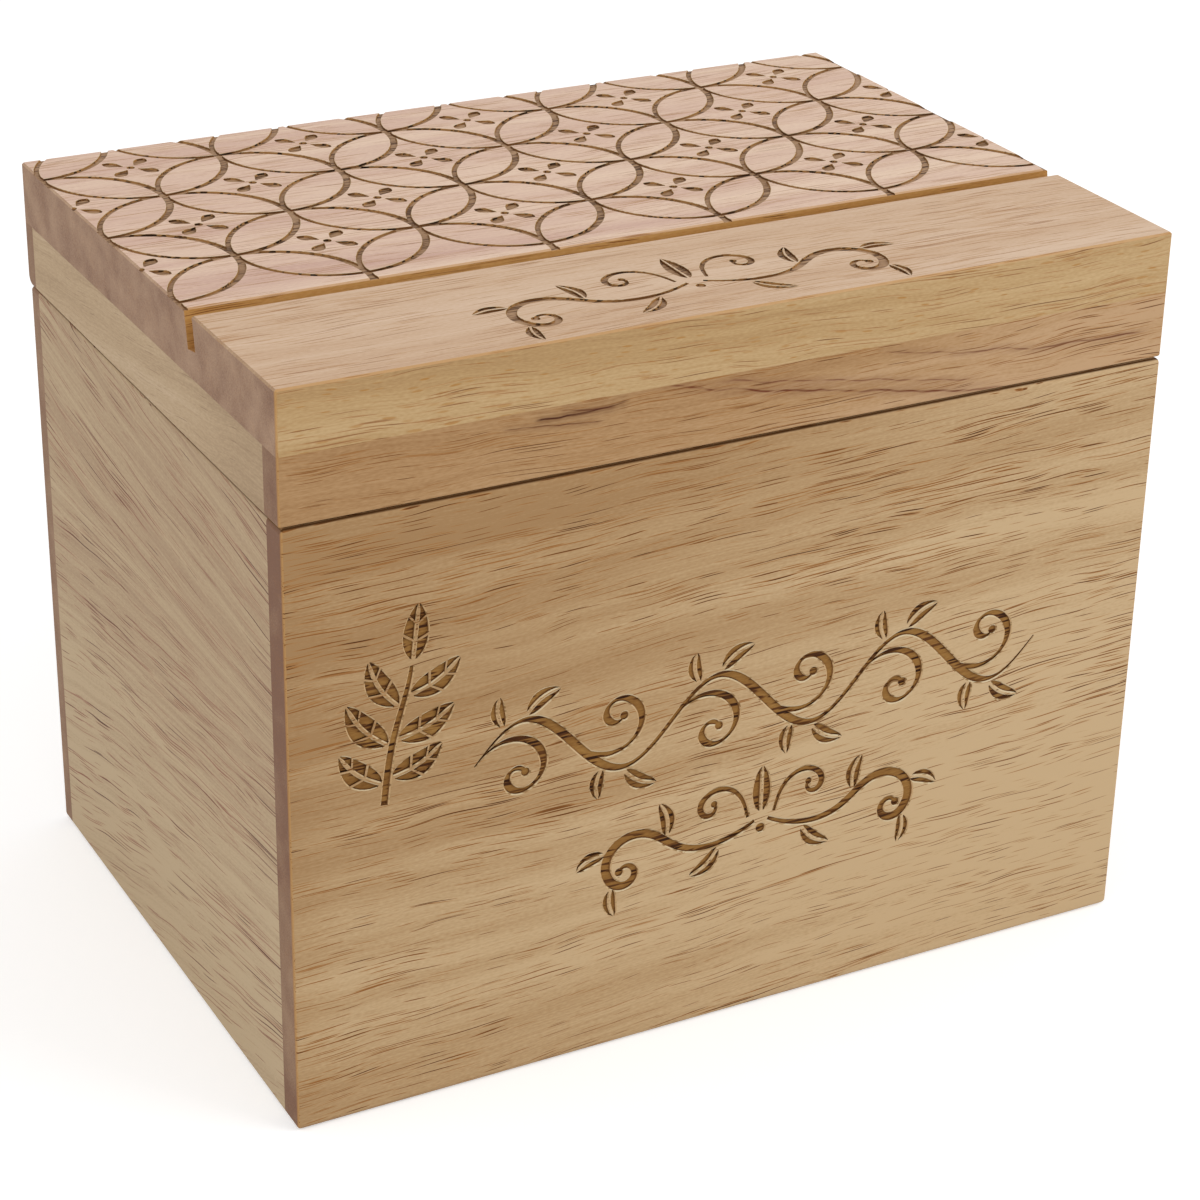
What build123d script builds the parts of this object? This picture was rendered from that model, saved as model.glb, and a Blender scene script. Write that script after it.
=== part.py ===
from build123d import *
from math import cos, radians
import os

# Keepsake box in rubberwood: a case of four boards and a bottom, and a hinged lid whose thick top
# panel has a slot along its whole width for standing a card in. Two brass butt hinges join them.
# Millimetres, +Z up, front at -Y. The origin is the middle of the lid's outline on the underside.

# ---------------------------------------------------------------- driving dimensions
# outside sizes, measured on the lid
WIDTH = 180.0
DEPTH = 128.0
HEIGHT = 146.0
LID_HEIGHT = 25.0          # from the parting line to the top
PARTING_GAP = 0.35         # between the case's rim and the lid's
LID_PROUD = 0.3            # how far the lid stands past the case at the left and at the rear

# boards
WALL = 8.0                 # thickness of the four boards and of the four rails
FRONT_LAP = 6.2            # end grain that shows outside the front corner rabbets
REAR_LAP = 4.4             # the same at the rear corners
TOP_THICK = 12.0
BOTTOM_THICK = 5.0
BOTTOM_LET_IN = 4.0        # how far the bottom panel reaches into the boards
BOTTOM_PLAY = 0.1          # round the bottom panel's edges

# eased edges
ARRIS = 0.5                # upright corners and the lid's rim
TOP_BEVEL = 0.35           # round the top
CASE_RIM_EASE = 1.0
CASE_FOOT_EASE = 1.2
LID_REAR_ROUND = 2.0       # rolls over the case's rim as the lid opens, and stops the lid

# card slot
SLOT_FROM_FRONT = 37.0     # to the front edge of its mouth
SLOT_WIDE = 3.6
SLOT_DEEP = 6.8
SLOT_LEAN = 10.0           # degrees that a card leans back
SLOT_BEVEL = 0.3           # along its mouth

# butt hinges
HINGE_LONG = 25.4
HINGE_FROM_SIDE = 25.0     # from the side of the box to the hinge
PIN_INSIDE = 0.68          # pin line, forward of the case's back
LEAF_THICK = 1.0
LEAF_REACH = 6.2           # from the pin line to the leaf's front edge
LEAF_CORNER = 0.6
LEAVES_APART = 0.3         # between the leaves of the closed hinge
BARREL_R = 1.9
BARREL_ROOM = 0.2          # round the barrel, in the wood
KNUCKLES = 3
KNUCKLE_PLAY = 0.12        # between neighbouring knuckles
PIN_R = 0.8
PIN_CLEAR = 0.05           # round the pin, in the lid leaf's knuckles
PIN_END = 0.3              # chamfered end that stands out of the barrel
MORTISE_PLAY = 0.1         # at the leaf's ends and front edge

# countersunk wood screws, two in each leaf
SCREW_SPACING = 15.0
SCREW_FROM_PIN = 4.1
SCREW_LONG = 8.0
SCREW_CORE_R = 0.9
SCREW_HEAD_R = 1.7
SCREW_HEAD_SUNK = 0.1      # below the leaf's face
SCREW_TIP = 1.8
SCREW_HOLE_CLEAR = 0.1     # round the core, in the leaf
PILOT_CLEAR = 0.03

# ---------------------------------------------------------------- derived places
LEFT, RIGHT = -WIDTH / 2, WIDTH / 2
FRONT, REAR = -DEPTH / 2, DEPTH / 2
CASE_LEFT = LEFT + LID_PROUD
CASE_REAR = REAR - LID_PROUD
PARTING = HEIGHT - LID_HEIGHT
CASE_RIM = PARTING - PARTING_GAP / 2
LID_RIM = PARTING + PARTING_GAP / 2
TOP_UNDERSIDE = HEIGHT - TOP_THICK
PIN_Y = CASE_REAR - PIN_INSIDE
HINGE_X = WIDTH / 2 - HINGE_FROM_SIDE - HINGE_LONG / 2
HINGES = {"left": -HINGE_X, "right": HINGE_X}


# ---------------------------------------------------------------- small helpers
def block(x, y, z):
    """A box between two values on each axis."""
    size = [hi - lo for lo, hi in (x, y, z)]
    middle = [(lo + hi) / 2 for lo, hi in (x, y, z)]
    return Pos(*middle) * Box(*size)


def edges_where(part, **planes):
    """The edges that lie wholly in the planes given, such as x=5 and z=0."""
    def lies(edge):
        ends = (edge @ 0, edge @ 1, edge @ 0.5)
        return all(
            abs(getattr(point, axis.upper()) - value) < 1e-4
            for axis, value in planes.items()
            for point in ends
        )
    return part.edges().filter_by(lies)


def rod(radius, x_start, x_end):
    """A cylinder along X, centred on the X axis."""
    middle = (x_start + x_end) / 2
    return Pos(middle, 0, 0) * Rot(0, 90, 0) * Cylinder(radius, x_end - x_start)


# ---------------------------------------------------------------- walls, alike for the case and the lid
def long_board(x, y, z, lap, outside):
    """A full-width board, rabbeted at both ends for the side boards.

    outside is the y of its outer face, and lap what is left of its thickness behind the rabbets.
    """
    board = block(x, y, z)
    inward = 1 if outside == y[0] else -1
    shoulder = outside + inward * lap
    inner = outside + inward * WALL
    rabbet_y = (min(shoulder, inner), max(shoulder, inner))
    for end in ((x[0], x[0] + WALL), (x[1] - WALL, x[1])):
        board -= block(end, rabbet_y, z)
    return board


def four_walls(x, y, z):
    """Front, rear, left and right boards of a frame with rabbeted corners."""
    side_y = (y[0] + FRONT_LAP, y[1] - REAR_LAP)
    return {
        "front": long_board(x, (y[0], y[0] + WALL), z, FRONT_LAP, y[0]),
        "rear": long_board(x, (y[1] - WALL, y[1]), z, REAR_LAP, y[1]),
        "left": block((x[0], x[0] + WALL), side_y, z),
        "right": block((x[1] - WALL, x[1]), side_y, z),
    }


def rim_edges(name, wall, x, y, z):
    """A wall's outer edges at height z, with those of its ends where they show."""
    long_edge = {"front": {"y": y[0]}, "rear": {"y": y[1]}, "left": {"x": x[0]}, "right": {"x": x[1]}}
    edges = edges_where(wall, z=z, **long_edge[name])
    if name in ("front", "rear"):
        edges += edges_where(wall, x=x[0], z=z) + edges_where(wall, x=x[1], z=z)
    return edges


def corner_edges(name, wall, x, y):
    """The upright corners, which belong to the front and rear boards."""
    if name in ("left", "right"):
        return ShapeList()
    outer = y[0] if name == "front" else y[1]
    return edges_where(wall, x=x[0], y=outer) + edges_where(wall, x=x[1], y=outer)


# ---------------------------------------------------------------- hinge pieces
def knuckle_spans(first):
    """The x spans of every other knuckle, about the hinge's middle."""
    pitch = HINGE_LONG / KNUCKLES
    starts = [-HINGE_LONG / 2 + pitch * n for n in range(first, KNUCKLES, 2)]
    return [(s + KNUCKLE_PLAY / 2, s + pitch - KNUCKLE_PLAY / 2) for s in starts]


def countersunk(top, core_r, long, tip):
    """A countersunk shape down -Z. Its 45 degree cone is as wide as a screw's head at z=0."""
    profile = Polyline(
        (0, 0, top),
        (SCREW_HEAD_R + top, 0, top),
        (core_r, 0, core_r - SCREW_HEAD_R),
        (core_r, 0, tip - long),
        (0, 0, -long),
        close=True,
    )
    return revolve(make_face(profile), Axis.Z)


def screw_places():
    """Where the two screws' heads lie, in the case leaf's own frame."""
    top = -LEAVES_APART / 2 - SCREW_HEAD_SUNK
    return [Pos(x, -SCREW_FROM_PIN, top) for x in (-SCREW_SPACING / 2, SCREW_SPACING / 2)]


def leaf(first, bore_r):
    """A hinge leaf below the pin line, which lies on the X axis. first is its first knuckle."""
    face = -LEAVES_APART / 2
    plate = block(
        (-HINGE_LONG / 2, HINGE_LONG / 2), (-LEAF_REACH, 0), (face - LEAF_THICK, face)
    )
    front_corners = edges_where(plate, x=-HINGE_LONG / 2, y=-LEAF_REACH)
    front_corners += edges_where(plate, x=HINGE_LONG / 2, y=-LEAF_REACH)
    plate = fillet(front_corners, LEAF_CORNER)
    for start, end in knuckle_spans(1 - first):
        room = (start - KNUCKLE_PLAY, end + KNUCKLE_PLAY)
        plate -= block(room, (-BARREL_R - KNUCKLE_PLAY, 0), (face - LEAF_THICK, face))
    for start, end in knuckle_spans(first):
        plate += rod(BARREL_R, start, end)
    plate -= rod(bore_r, -HINGE_LONG, HINGE_LONG)
    for place in screw_places():
        plate -= place * countersunk(SCREW_HEAD_SUNK, SCREW_CORE_R + SCREW_HOLE_CLEAR, 2 * LEAF_THICK, 0.0)
    return plate


def pin():
    """The hinge pin, with chamfered ends just outside the barrel."""
    half = HINGE_LONG / 2 + PIN_END
    return chamfer(rod(PIN_R, -half, half).edges().filter_by(GeomType.CIRCLE), PIN_END)


def hinge_room():
    """What a hinge leaf below the pin line takes out of the wood: mortise, barrel trough and pilots."""
    long = (-HINGE_LONG / 2 - MORTISE_PLAY, HINGE_LONG / 2 + MORTISE_PLAY)
    floor = -LEAVES_APART / 2 - LEAF_THICK
    room = block(long, (-LEAF_REACH - MORTISE_PLAY, WALL), (floor, 0))
    half = HINGE_LONG / 2 + PIN_END + BARREL_ROOM
    room += rod(BARREL_R + BARREL_ROOM, -half, half)
    for place in screw_places():
        room += place * Cylinder(
            SCREW_CORE_R + PILOT_CLEAR,
            SCREW_LONG + PILOT_CLEAR,
            align=(Align.CENTER, Align.CENTER, Align.MAX),
        )
    return room


def group(parts):
    """Separate solids that share one node."""
    return Compound([solid for part in parts for solid in part.solids()])


def upturned(part):
    """The same piece on the lid's side of the pin line."""
    return mirror(part, about=Plane.XY)


# ---------------------------------------------------------------- case
def make_case():
    x, y, z = (CASE_LEFT, RIGHT), (FRONT, CASE_REAR), (0.0, CASE_RIM)
    walls = four_walls(x, y, z)
    for name in walls:
        walls[name] = fillet(rim_edges(name, walls[name], x, y, z[1]), CASE_RIM_EASE)
        walls[name] = fillet(rim_edges(name, walls[name], x, y, z[0]), CASE_FOOT_EASE)
    for name in ("front", "rear"):
        walls[name] = fillet(corner_edges(name, walls[name], x, y), ARRIS)

    # the bottom panel lies in a stopped rabbet, flush with the boards' lower edges
    let_in = WALL - BOTTOM_LET_IN
    rabbet = block((x[0] + let_in, x[1] - let_in), (y[0] + let_in, y[1] - let_in), (0, BOTTOM_THICK))
    for name in walls:
        walls[name] -= rabbet
    inset = let_in + BOTTOM_PLAY
    bottom = block((x[0] + inset, x[1] - inset), (y[0] + inset, y[1] - inset), (0, BOTTOM_THICK))

    for hinge_x in HINGES.values():
        walls["rear"] -= Pos(hinge_x, PIN_Y, PARTING) * hinge_room()
    nodes = {f"case_{name}_board": wall for name, wall in walls.items()}
    nodes["case_bottom_panel"] = bottom
    return nodes


# ---------------------------------------------------------------- lid
def card_slot():
    """The slot's tool, tilted so that a card stands leaning back."""
    wide = SLOT_WIDE / cos(radians(SLOT_LEAN))
    middle = FRONT + SLOT_FROM_FRONT + wide / 2
    return Pos(0, middle, HEIGHT) * Rot(-SLOT_LEAN, 0, 0) * Box(2 * WIDTH, SLOT_WIDE, 2 * SLOT_DEEP)


def make_lid():
    x, y, z = (LEFT, RIGHT), (FRONT, REAR), (LID_RIM, TOP_UNDERSIDE)
    rails = four_walls(x, y, z)
    rails["rear"] = fillet(edges_where(rails["rear"], y=y[1], z=z[0]), LID_REAR_ROUND)
    for name, rail in rails.items():
        edges = rim_edges(name, rail, x, y, z[0]) + corner_edges(name, rail, x, y)
        rails[name] = fillet(edges, ARRIS)
    for hinge_x in HINGES.values():
        rails["rear"] -= Pos(hinge_x, PIN_Y, PARTING) * upturned(hinge_room())

    top = block(x, y, (TOP_UNDERSIDE, HEIGHT))
    top = fillet(top.edges().filter_by(Axis.Z), ARRIS)
    top = chamfer(edges_where(top, z=HEIGHT), TOP_BEVEL)
    top -= card_slot()
    mouth = top.edges().filter_by(Axis.X).filter_by_position(Axis.Z, HEIGHT - 1e-3, HEIGHT + 1e-3)
    mouth = mouth.filter_by_position(Axis.Y, FRONT + SLOT_FROM_FRONT - 1, FRONT + SLOT_FROM_FRONT + 5)
    top = chamfer(mouth, SLOT_BEVEL)

    nodes = {f"lid_{name}_rail": rail for name, rail in rails.items()}
    nodes["lid_top_panel"] = top
    return nodes


# ---------------------------------------------------------------- hinges
def make_hinges():
    nodes = {}
    for side, hinge_x in HINGES.items():
        place = Pos(hinge_x, PIN_Y, PARTING)
        screw = countersunk(0.0, SCREW_CORE_R, SCREW_LONG, SCREW_TIP)
        screws = [spot * screw for spot in screw_places()]
        nodes[f"hinge_{side}_case_leaf"] = place * leaf(0, PIN_R)
        nodes[f"hinge_{side}_lid_leaf"] = place * upturned(leaf(1, PIN_R + PIN_CLEAR))
        nodes[f"hinge_{side}_pin"] = place * pin()
        nodes[f"hinge_{side}_case_screws"] = group(place * one for one in screws)
        nodes[f"hinge_{side}_lid_screws"] = group(place * upturned(one) for one in screws)
    return nodes


# ---------------------------------------------------------------- write one file per piece
os.makedirs("parts", exist_ok=True)
for node, shape in {**make_case(), **make_lid(), **make_hinges()}.items():
    export_step(shape, f"parts/{node}.step")
    print(f"{node:26} {shape.volume:10.1f} mm3")
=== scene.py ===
from math import atan2, ceil, cos, degrees, pi, radians, sin, sqrt

import bpy
from mathutils import Matrix, Vector


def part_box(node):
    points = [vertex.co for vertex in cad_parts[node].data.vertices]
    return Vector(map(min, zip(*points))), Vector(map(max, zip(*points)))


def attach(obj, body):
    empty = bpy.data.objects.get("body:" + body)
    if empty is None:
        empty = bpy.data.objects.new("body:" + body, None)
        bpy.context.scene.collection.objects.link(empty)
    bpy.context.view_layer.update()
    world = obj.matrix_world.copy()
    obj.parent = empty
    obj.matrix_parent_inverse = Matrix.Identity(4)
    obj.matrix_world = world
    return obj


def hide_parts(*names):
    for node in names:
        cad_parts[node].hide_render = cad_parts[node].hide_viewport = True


# A keepsake box in rubberwood: engraved front board, engraved lid with a card slot, brass butt hinges.
# Metres, +Z up, front at -Y. The frame holds every board, rail, leaf, pin and screw at its place.

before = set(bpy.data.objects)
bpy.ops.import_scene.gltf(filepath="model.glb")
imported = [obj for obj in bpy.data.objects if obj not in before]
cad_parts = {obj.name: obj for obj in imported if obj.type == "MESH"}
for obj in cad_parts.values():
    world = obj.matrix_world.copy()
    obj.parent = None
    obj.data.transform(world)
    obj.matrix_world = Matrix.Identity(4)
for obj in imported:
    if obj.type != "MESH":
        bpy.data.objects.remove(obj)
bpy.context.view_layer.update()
MM = 0.001

# ---------------------------------------------------------------- places, from the frame
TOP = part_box("lid_top_panel")[1][2]           # the lid's upper face
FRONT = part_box("case_front_board")[0][1]      # the front board's outer face


# ---------------------------------------------------------------- camera
# The view: from the front left and above, through a long lens.
CAMERA_PLACE = (-0.2681, -0.5099, 0.3441)
CAMERA_HEADING = 28.16     # degrees from +Y towards +X
CAMERA_DIP = 26.20         # degrees below the horizon
CAMERA_ROLL = 1.09         # degrees
CAMERA_SENSOR = 36.0       # mm across
PICTURE_WIDTH = 1200       # pixels
FOCAL_PIXELS = 3182        # the focal length in pixels of the picture
CAMERA_FOCAL = CAMERA_SENSOR * FOCAL_PIXELS / PICTURE_WIDTH


def make_camera():
    heading, dip, roll = (radians(a) for a in (CAMERA_HEADING, CAMERA_DIP, CAMERA_ROLL))
    forward = Vector((sin(heading) * cos(dip), cos(heading) * cos(dip), -sin(dip)))
    right = forward.cross(Vector((0, 0, 1))).normalized()
    up = right.cross(forward)
    turned_right = right * cos(roll) + up * sin(roll)
    turned_up = up * cos(roll) - right * sin(roll)
    lens = bpy.data.cameras.new("camera")
    lens.sensor_width = CAMERA_SENSOR
    lens.lens = CAMERA_FOCAL
    camera = bpy.data.objects.new("camera", lens)
    axes = Matrix((turned_right, turned_up, -forward)).transposed()
    camera.matrix_world = Matrix.Translation(CAMERA_PLACE) @ axes.to_4x4()
    bpy.context.scene.collection.objects.link(camera)
    bpy.context.scene.camera = camera


# ---------------------------------------------------------------- materials: helpers
def srgb(code):
    """A hex sRGB value as the linear colour that Blender's sockets take."""
    parts = [int(code[i:i + 2], 16) / 255 for i in (1, 3, 5)]
    return (*[p / 12.92 if p <= 0.04045 else ((p + 0.055) / 1.055) ** 2.4 for p in parts], 1.0)


def add(tree, kind, inputs=None, tones=(), **settings):
    """Add a node with its settings; each input, named or numbered, takes a value, a node or a socket.

    A colour ramp takes three tones, for its start, middle and end.
    """
    made = tree.nodes.new("ShaderNode" + kind)
    for name, value in settings.items():
        setattr(made, name, value)
    for name, value in (inputs or {}).items():
        if isinstance(value, bpy.types.Node):
            value = value.outputs[0]
        if isinstance(value, bpy.types.NodeSocket):
            tree.links.new(value, made.inputs[name])
        else:
            made.inputs[name].default_value = value
    if tones:
        made.color_ramp.elements.new(0.5)
        for stop, code in zip(made.color_ramp.elements, tones):
            stop.color = srgb(code)
    return made


def new_material(name):
    material = bpy.data.materials.new(name)
    material.use_nodes = True
    material.node_tree.nodes.clear()
    return material, material.node_tree


# ---------------------------------------------------------------- rubberwood
# Sizes in the wood are in mm: a length along the grain, then a width across it. A board's tone comes from
# growth bands 5 to 7 mm wide, streaks of 1.5 mm, fibres and specks. The vessels of rubberwood are 0.15 to
# 0.25 mm wide and most are drawn so. One fibre, at 0.03 mm, is too fine to show, so bundles are drawn.
BOARD = {
    "grain": "X",
    "seed": (0.0, 0.0, 0.0),       # metres, a different log for each board
    "slope": 0.0,                  # mm that the fibres climb per mm
    "waver": (90, 30, 1.7),        # slow bends of the fibres: length, spacing, how far they swing
    "ripple": (14, 5, 0.38),       # short bends
    "bands": (170, 7, 1.55),       # length, width and share of each layer of tone
    "streaks": (70, 1.5, 0.30),
    "fibres": (26, 0.34, 0.55),
    "specks": (1.0, 0.24, 0.60),   # short ends of fibres that the sanding opened
    "range": 0.40,                 # how much of the noise's height goes from dark to pale
    "lift": 0.0,                   # a shift of the whole tone towards pale
    "shade": (),                   # shifts across the board: (axis, from mm, to mm, shift towards pale)
    "side": ("#A8845B", "#BA9970", "#CDB088"),
    "top": ("#A68158", "#B8966C", "#CBAD84"),
    "end": ("#7C5A47", "#8E6F58", "#A08268"),
    # a painted highlight on the eased edges
    "arris_highlight": "#C3935A",
    "arrises": "X",                # the edges that show it: X at a board's ends, Z along its length
    # each cell holds one vessel: the cell's length and width, and half the vessel's width as a share of it
    "vessels": ((62, 0.50, 0.20), (30, 0.42, 0.23), (14, 0.37, 0.28)),
    "vessel_tones": ("#AC7A45", "#885629", "#40200E"),   # from a shallow cut along a vessel to a deep one
    "vessel_strength": 1.0,
    "crowd": (60, 7),              # size of the patches where vessels crowd together
    "crowding": (),                # (axis, from mm, to mm, shift towards crowded)
}

# A noise pattern runs from 0 to 1 about 0.5, and stays near its middle.
NOISE_MIDDLE = 0.5
NOISE_STRAY = 0.25             # how far it usually strays from it
CROWD_NOISE = (0.35, 0.62)     # the crowding noise's usual low and high

FACE_TURN = (0.6, 0.8)         # a face begins to count as an end or a top, and fully does, by its normal
CROWD_GROWTH = (0.7, 1.25)     # a vessel's size where they are few, and where they crowd
VESSEL_CORE = 0.55             # the share of its half width that is cut to the full depth
VESSEL_BIAS = 1.5              # above 1, deep vessels are rarer than shallow ones
VESSEL_SHALLOWEST = 0.3        # as a share of the deepest
VESSEL_SHOWN = 0.35            # the depth from which a vessel covers the wood's own tone
VESSEL_TONED = 0.2             # the depth from which its tone goes from shallow to deep
VESSELS_ON_END = 0.3           # how much of a vessel's line shows on end grain
VESSEL_DEPTH = 0.15            # mm, of the deepest
OILED = {"Roughness": 0.6, "IOR": 1.45, "Specular IOR Level": 0.12}      # a thin oil, a broad faint sheen


def grain_place(tree, plan, place, facing):
    """The place in the wood, with the fibres along X, bent by slow waves and short ripples.

    A board is sawn along its fibres, so they bend within each face and don't dive into it.
    """
    turn = (0, 0, 0) if plan["grain"] == "X" else (0, 0, -pi / 2)
    straight = add(tree, "Mapping", {"Vector": place, "Rotation": turn})
    facing = add(tree, "Mapping", {"Vector": facing, "Rotation": turn})
    facing = add(tree, "VectorMath", {0: facing}, operation="ABSOLUTE")
    within = add(tree, "VectorMath", {0: (1, 1, 1), 1: facing}, operation="SUBTRACT")
    if "points" in plan:
        straight = nested_points(tree, straight, *plan["points"])
    parts = add(tree, "SeparateXYZ", {0: straight})
    climb = add(tree, "Math", {0: parts.outputs["X"], 1: -plan["slope"], 2: parts.outputs["Z"]},
                operation="MULTIPLY_ADD")
    sloped = add(tree, "CombineXYZ", {0: parts.outputs["X"], 1: parts.outputs["Y"], 2: climb})
    bent = add(tree, "VectorMath", {0: sloped, 1: plan["seed"]}, operation="ADD")
    for length, spacing, swing in (plan["waver"], plan["ripple"]):
        wave = layer(tree, bent, length, spacing)
        centred = add(tree, "VectorMath", {0: wave.outputs["Color"], 1: (NOISE_MIDDLE,) * 3},
                      operation="SUBTRACT")
        reach = swing / NOISE_STRAY * MM
        reach = add(tree, "VectorMath", {0: within, 1: (0, reach, reach)}, operation="MULTIPLY")
        bent = add(tree, "VectorMath", {0: centred, 1: reach, 2: bent}, operation="MULTIPLY_ADD")
    return bent


def nested_points(tree, straight, height, close, push, soft):
    """Fibres that close into nested points towards the front, as where the saw leaves a growth ring.

    The points lie at this height. Going forward, the fibres close up by the share "close", and a band of
    them "push" wide runs out, round a tip "soft" high. Height, push and soft are in mm.
    """
    parts = add(tree, "SeparateXYZ", {0: straight})
    forward = add(tree, "MapRange", {"Value": parts.outputs["X"], "From Min": -FRONT, "From Max": FRONT})
    above = add(tree, "Math", {0: parts.outputs["Z"], 1: height * MM}, operation="SUBTRACT")
    squeeze = add(tree, "Math", {0: forward, 1: close, 2: 1.0}, operation="MULTIPLY_ADD")
    spread = add(tree, "Math", {0: above, 1: squeeze}, operation="MULTIPLY")
    square = add(tree, "Math", {0: above, 1: above, 2: (soft * MM) ** 2}, operation="MULTIPLY_ADD")
    root = add(tree, "Math", {0: square}, operation="SQRT")
    side = add(tree, "Math", {0: above, 1: root}, operation="DIVIDE")
    pushed = add(tree, "Math", {0: forward, 1: push * MM}, operation="MULTIPLY")
    height_now = add(tree, "Math", {0: side, 1: pushed, 2: spread}, operation="MULTIPLY_ADD")
    return add(tree, "CombineXYZ", {0: parts.outputs["X"], 1: parts.outputs["Y"], 2: height_now})


def layer(tree, bent, length, width, detail=0.0, shift=0.0):
    """A soft pattern of stretched patches, length by width in mm, from 0 to 1.

    The shift moves it, so that no two layers repeat each other.
    """
    scale = (1 / (length * MM), 1 / (width * MM), 1 / (width * MM))
    stretched = add(tree, "Mapping", {"Vector": bent, "Scale": scale, "Location": (shift, shift, shift)})
    return add(tree, "TexNoise", {"Vector": stretched, "Scale": 1.0, "Detail": detail})


def shifted(tree, place, value, terms):
    """A value that rises or falls across the board: each term is (axis, from mm, to mm, amount)."""
    for axis, start, stop, amount in terms:
        parts = add(tree, "SeparateXYZ", {0: place})
        rise = add(tree, "MapRange",
                   {"Value": parts.outputs[axis], "From Min": start * MM, "From Max": stop * MM,
                    "To Min": 0.0, "To Max": amount}, interpolation_type="SMOOTHSTEP")
        value = add(tree, "Math", {0: value, 1: rise}, operation="ADD")
    return value


def vessels(tree, bent, size, crowd, shift):
    """Cut vessels: one long thin ellipsoid in each stretched cell, from 0 to the depth of its cut."""
    length, width, fill = size
    scale = (1 / (length * MM), 1 / (width * MM), 1 / (width * MM))
    stretched = add(tree, "Mapping", {"Vector": bent, "Scale": scale, "Location": (shift, shift, shift)})
    cell = add(tree, "TexVoronoi", {"Vector": stretched, "Scale": 1.0, "Randomness": 1.0})
    reach = add(tree, "MapRange", {"Value": crowd, "From Min": CROWD_NOISE[0], "From Max": CROWD_NOISE[1],
                                   "To Min": fill * CROWD_GROWTH[0], "To Max": fill * CROWD_GROWTH[1]})
    core = add(tree, "Math", {0: reach, 1: VESSEL_CORE}, operation="MULTIPLY")
    mask = add(tree, "MapRange", {"Value": cell.outputs["Distance"], "From Min": reach, "From Max": core,
                                  "To Min": 0.0, "To Max": 1.0}, interpolation_type="SMOOTHSTEP")
    own = add(tree, "SeparateXYZ", {0: cell.outputs["Color"]})
    uneven = add(tree, "Math", {0: own.outputs[0], 1: VESSEL_BIAS}, operation="POWER")
    depth = add(tree, "MapRange", {"Value": uneven, "To Min": VESSEL_SHALLOWEST, "To Max": 1.0})
    return add(tree, "Math", {0: mask, 1: depth}, operation="MULTIPLY")


def rubberwood(name, **changes):
    """Rubberwood (Hevea), planed, sanded and oiled: a satin tan, with open vessels as fine dark dashes."""
    plan = {**BOARD, **changes}
    material, tree = new_material(name)
    coordinates = add(tree, "TexCoord")
    place = coordinates.outputs["Object"]
    bent = grain_place(tree, plan, place, coordinates.outputs["Normal"])
    factor = shifted(tree, place, wood_tone(tree, plan, bent), plan["shade"])

    # each kind of face has its own tones: long sides, the top, and the ends
    normal = add(tree, "SeparateXYZ", {0: coordinates.outputs["Normal"]})
    along = add(tree, "Math", {0: normal.outputs[plan["grain"]]}, operation="ABSOLUTE")
    start, full = FACE_TURN
    is_end = add(tree, "MapRange", {"Value": along, "From Min": start, "From Max": full})
    is_top = add(tree, "MapRange", {"Value": normal.outputs["Z"], "From Min": start, "From Max": full})
    top = add(tree, "ValToRGB", {"Fac": factor}, plan["top"])
    if "stave" in plan:
        edge, tones = plan["stave"]
        parts = add(tree, "SeparateXYZ", {0: place})
        is_stave = add(tree, "Math", {0: parts.outputs["Y"], 1: edge * MM}, operation="LESS_THAN")
        stave = add(tree, "ValToRGB", {"Fac": factor}, tones)
        top = add(tree, "MixRGB", {0: is_stave, 1: top, 2: stave})
    side = add(tree, "ValToRGB", {"Fac": factor}, plan["side"])
    colour = add(tree, "MixRGB", {0: is_top, 1: side, 2: top})
    end = add(tree, "ValToRGB", {"Fac": factor}, plan["end"])
    colour = add(tree, "MixRGB", {0: is_end, 1: colour, 2: end})
    # painted highlight where the eased edges catch the light
    for way in plan["arrises"]:
        colour = arris_highlight(tree, normal, colour, way, plan["arris_highlight"])

    # the vessels, and what else lies over the tone
    crowd = shifted(tree, place, layer(tree, bent, *plan["crowd"], 1.0, 8.0), plan["crowding"])
    cut = 0.0
    for number, size in enumerate(plan["vessels"]):
        sort = vessels(tree, bent, size, crowd, 5.0 * number)
        cut = add(tree, "Math", {0: sort, 1: cut}, operation="MAXIMUM")
    if "top_vessels" in plan:
        fewer = add(tree, "MapRange", {"Value": is_top, "To Min": 1.0, "To Max": plan["top_vessels"]})
        cut = add(tree, "Math", {0: cut, 1: fewer}, operation="MULTIPLY")
    show = add(tree, "MapRange", {"Value": cut, "From Max": VESSEL_SHOWN, "To Max": plan["vessel_strength"]})
    off_end = add(tree, "MapRange", {"Value": is_end, "To Min": 1.0, "To Max": VESSELS_ON_END})
    show = add(tree, "Math", {0: show, 1: off_end}, operation="MULTIPLY")
    vessel = add(tree, "MapRange", {"Value": cut, "From Min": VESSEL_TONED, "From Max": 1.0})
    if "flecks" in plan:
        colour = flecks(tree, bent, crowd, is_top, is_end, colour, *plan["flecks"])
    vessel = add(tree, "ValToRGB", {"Fac": vessel}, plan["vessel_tones"])
    colour = add(tree, "MixRGB", {0: show, 1: colour, 2: vessel})
    # painted shade along the rims, where the closed joint's gap lies in shadow
    if "seam" in plan:
        colour = seam(tree, place, is_top, colour, plan["seam"])
    for vein in plan.get("veins", ()):
        colour = dark_vein(tree, place, bent, colour, **vein)

    surface = add(tree, "BsdfPrincipled", {"Base Color": colour, **OILED})
    bump = add(tree, "Bump", {"Height": cut, "Strength": 0.25, "Distance": VESSEL_DEPTH * MM}, invert=True)
    tree.links.new(bump.outputs[0], surface.inputs["Normal"])
    add(tree, "OutputMaterial", {0: surface})
    return material


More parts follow.
